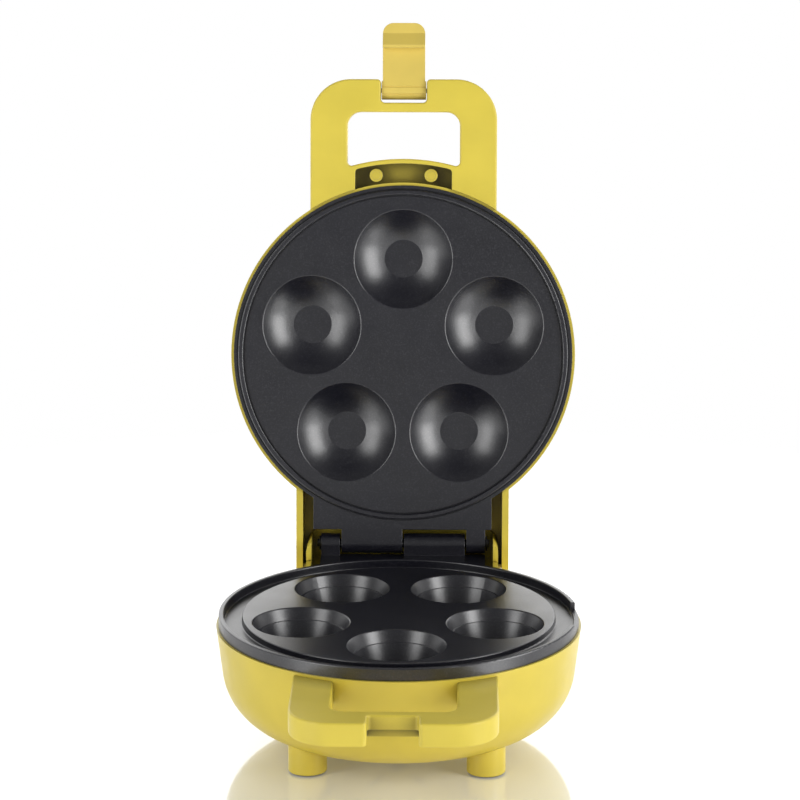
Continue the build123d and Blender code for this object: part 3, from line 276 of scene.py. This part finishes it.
def make_surroundings():
    """White to the camera and through glass, and in gloss where the table and the wall behind the
    object are. Elsewhere a studio that is darker in front and above."""
    world = bpy.data.worlds.new("surroundings")
    world.use_nodes = True
    bpy.context.scene.world = world
    tree = world.node_tree
    tree.nodes.clear()
    seen = background(tree)
    studio = background(tree)

    direction = tree.nodes.new("ShaderNodeSeparateXYZ")
    place = tree.nodes.new("ShaderNodeTexCoord").outputs["Generated"]
    tree.links.new(place, direction.inputs["Vector"])
    behind = ranged(tree, direction.outputs["Y"], behind_y)
    low = ranged(tree, direction.outputs["Z"], wall_z, wall_white)
    table = ranged(tree, direction.outputs["Z"], table_z, table_white)
    white_part = combined(tree, "MAXIMUM", combined(tree, "MULTIPLY", behind, low), table)

    overhead = ranged(tree, direction.outputs["Z"], overhead_z, overhead_dim)
    strength = ranged(tree, white_part, (0.0, 1.0), studio_strength)
    tree.links.new(combined(tree, "MULTIPLY", strength, overhead), studio.inputs["Strength"])

    ray = tree.nodes.new("ShaderNodeLightPath")
    in_gloss = combined(tree, "MULTIPLY", ray.outputs["Is Glossy Ray"], white_part)
    through = combined(tree, "MAXIMUM", ray.outputs["Is Camera Ray"], ray.outputs["Is Transmission Ray"])
    shader = blended(tree, combined(tree, "MAXIMUM", in_gloss, through),
                     studio.outputs["Background"], seen.outputs["Background"])
    output = tree.nodes.new("ShaderNodeOutputWorld")
    tree.links.new(shader, output.inputs["Surface"])


def make_floor():
    """A pale glossy floor that gets whiter away from the object and fades into the surroundings."""
    mesh = bpy.data.meshes.new("floor")
    corners = [(-floor_half, -floor_half, 0), (floor_half, -floor_half, 0),
               (floor_half, floor_half, 0), (-floor_half, floor_half, 0)]
    mesh.from_pydata(corners, [], [(0, 1, 2, 3)])
    floor = bpy.data.objects.new("floor", mesh)
    bpy.context.scene.collection.objects.link(floor)

    made, shader = new_material("pale_floor")
    tree = made.node_tree
    set_inputs(shader, {"Base Color": opaque(floor_colour), "Roughness": floor_roughness,
                        "Metallic": floor_metallic, "IOR": floor_ior, "Emission Color": opaque(white)})
    distance = tree.nodes.new("ShaderNodeVectorMath")
    distance.operation = "LENGTH"
    tree.links.new(tree.nodes.new("ShaderNodeTexCoord").outputs["Object"], distance.inputs[0])
    glow = ranged(tree, distance.outputs["Value"], glow_distance, glow_strength)
    tree.links.new(glow, shader.inputs["Emission Strength"])

    fade = ranged(tree, distance.outputs["Value"], fade_distance)
    clear = tree.nodes.new("ShaderNodeBsdfTransparent")
    faded = blended(tree, fade, shader.outputs["BSDF"], clear.outputs["BSDF"])
    output = next(node for node in tree.nodes if node.type == "OUTPUT_MATERIAL")
    tree.links.new(faded, output.inputs["Surface"])
    mesh.materials.append(made)
    return floor


def make_camera():
    """The camera at the photograph's viewing angle."""
    data = bpy.data.cameras.new("camera")
    data.lens = camera_lens
    data.sensor_width = camera_sensor
    camera = bpy.data.objects.new("camera", data)
    camera.location = camera_place
    camera.rotation_euler = (radians(90 + camera_pitch), 0, radians(camera_yaw))
    bpy.context.scene.collection.objects.link(camera)
    bpy.context.scene.camera = camera


# The finish of each material slot
finishes = {
    # recess gives the yellow plastics painted shade in their corners, creases, feet and the grip's pocket
    "casing_yellow": finish("casing_plastic", yellow, 0.34, recess=0.4),
    "grip_yellow": finish("grip_plastic", yellow_grip, 0.38, recess=1.0),
    "latch_yellow": finish("latch_plastic", yellow_latch, 0.42),
    # The coating's pale edges are wear and painted highlight
    "non_stick_casting": finish("non_stick_coating", coating, 0.31, tint=0.15, grain=1500.0,
                                grain_depth=0.00004, rough_spread=0.02, wear_and_highlight=0.3, worn_and_highlight=coating_wear_and_highlight,
                                ior=1.9, dots=coating_dots),
    "steel": finish("plated_steel", plated, 0.26, metallic=1.0, tint=0.08, grain=1500.0,
                    stretch=(1.0, 1.0, 6.0)),
    "dark_steel": finish("blackened_steel", blackened, 0.4, metallic=0.6, tint=0.15, grain=1500.0),
    "reflector": finish("rolled_aluminium", aluminium, 0.34, metallic=1.0, tint=0.05,
                        stretch=(8.0, 1.0, 1.0)),
    "tube_sheath": finish("heater_sheath", heater_sheath, 0.46, metallic=0.8, tint=0.25,
                          tint_scale=60.0),
    "ceramic_white": finish("glazed_ceramic", ceramic, 0.3, tint=0.04, coat=0.5),
    "black_plastic": finish("dark_plastic", dark_plastic, 0.45, tint=0.15),
    "white_plastic": finish("pale_plastic", pale_plastic, 0.42),
    "lead_sleeve": finish("glass_fibre_sleeve", glass_fibre, 0.7, tint=0.12, grain=1800.0,
                          grain_depth=0.00006, sheen=0.3),
    "pad_rubber": finish("soft_rubber", rubber, 0.75, tint=0.2, grain=1400.0, grain_depth=0.00004),
}

# Each CAD node keeps its shape and gets the finish of its slot
slot_of = {entry["node"]: entry["material_slot"] for entry in frame["record"]["subparts"]}
for node_name, node in frame["nodes"].items():
    chosen = finishes[slot_of[node_name]]
    if not node.material_slots:
        node.data.materials.append(chosen)
    for slot in node.material_slots:
        slot.material = chosen

make_camera()
for lamp, settings in lamps.items():
    softbox(lamp, *settings)
make_surroundings()
floor = make_floor()

bpy.context.scene.view_settings.view_transform = "Standard"
